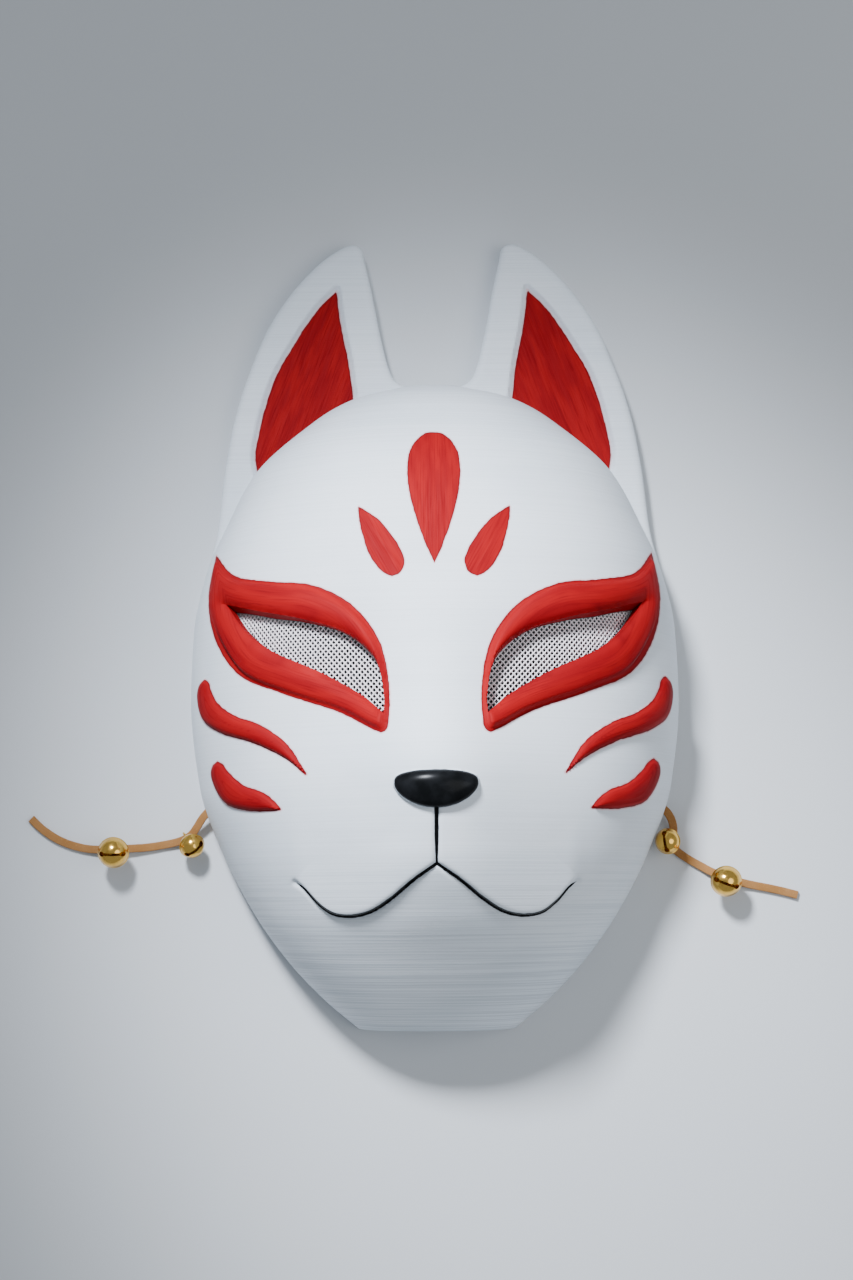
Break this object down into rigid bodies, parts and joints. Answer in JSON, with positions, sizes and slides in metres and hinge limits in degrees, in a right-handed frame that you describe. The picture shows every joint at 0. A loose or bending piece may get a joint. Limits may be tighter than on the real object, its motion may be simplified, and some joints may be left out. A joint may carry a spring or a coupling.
{
  "type": "kitsune mask",
  "caption": "Hollow fox face mask with upright ears, slanted screened eye openings, raised lids and cheek marks, and side laces that carry small jingle bells.",
  "frame": {"origin": "under the middle of the mask's outline, in the plane of its back rim", "axes": "+Z the way the face looks, +Y towards the ears, +X to the right as one looks at the face"},
  "size_m": [0.2892, 0.2948, 0.0988],
  "materials": {
    "painted_print": "satin white paint on layered print, with red and black brushwork",
    "screen": "pale woven mesh",
    "lace": "suede",
    "bell": "polished gold plate"
  },
  "bodies": {
    "root": {"mask": "painted_print", "eye_screen_left": "screen", "eye_screen_right": "screen", "lace_left": "lace", "lace_right": "lace", "bell_left_inner": "bell", "bell_left_outer": "bell", "bell_right_inner": "bell", "bell_right_outer": "bell"}
  },
  "joints": []
}
